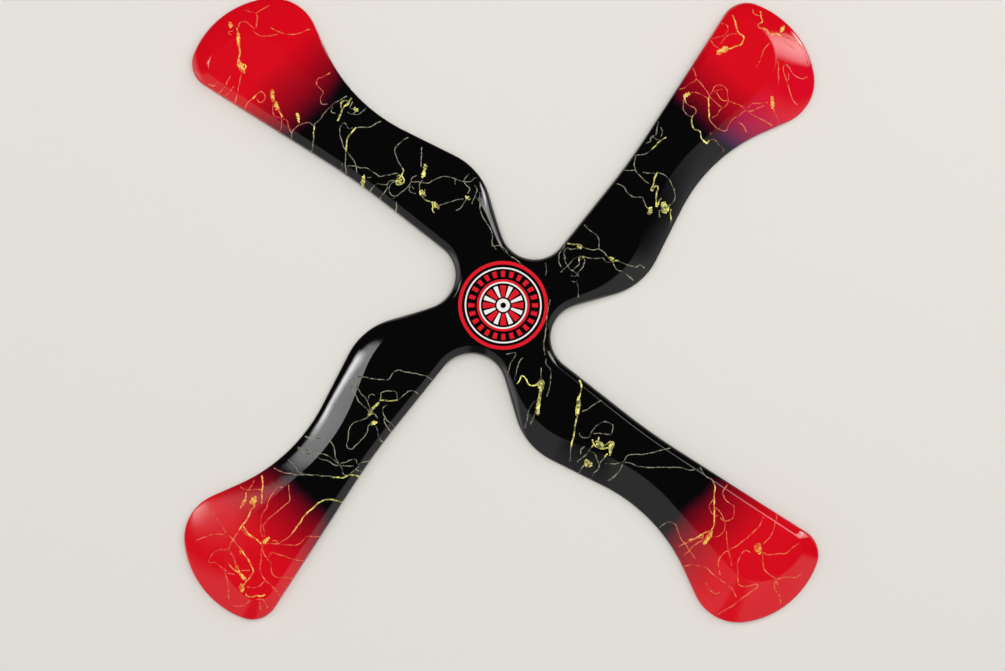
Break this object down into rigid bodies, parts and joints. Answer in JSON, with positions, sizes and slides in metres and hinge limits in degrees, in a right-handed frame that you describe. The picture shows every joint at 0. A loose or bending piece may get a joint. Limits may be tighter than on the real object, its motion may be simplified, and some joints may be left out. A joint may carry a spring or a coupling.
{
  "type": "boomerang",
  "caption": "Flat wooden boomerang with curved blades set crosswise, bevelled edges, black gloss finish fading to red tips, fine paint threads and a round hub emblem.",
  "frame": {"origin": "centre of the hub on the flat back, which is the centre of the bounding box's bottom face", "axes": "+Z out of the decorated face; the arms lie on the diagonals between X and Y, and +Y is up in the picture"},
  "size_m": [0.2468, 0.2468, 0.0051],
  "materials": {
    "lacquered_birch": "birch plywood painted gloss black, red at the tips, with thin yellow and grey paint threads under clear lacquer",
    "emblem_print": "printed transfer in red, white and black under clear lacquer"
  },
  "bodies": {
    "root": {"face_veneer": "lacquered_birch", "cross_veneer_2": "lacquered_birch", "long_veneer_3": "lacquered_birch", "cross_veneer_4": "lacquered_birch", "core_veneer_5": "lacquered_birch", "core_veneer_6": "lacquered_birch", "cross_veneer_7": "lacquered_birch", "long_veneer_8": "lacquered_birch", "cross_veneer_9": "lacquered_birch", "back_veneer": "lacquered_birch", "centre_emblem": "emblem_print"}
  },
  "joints": []
}
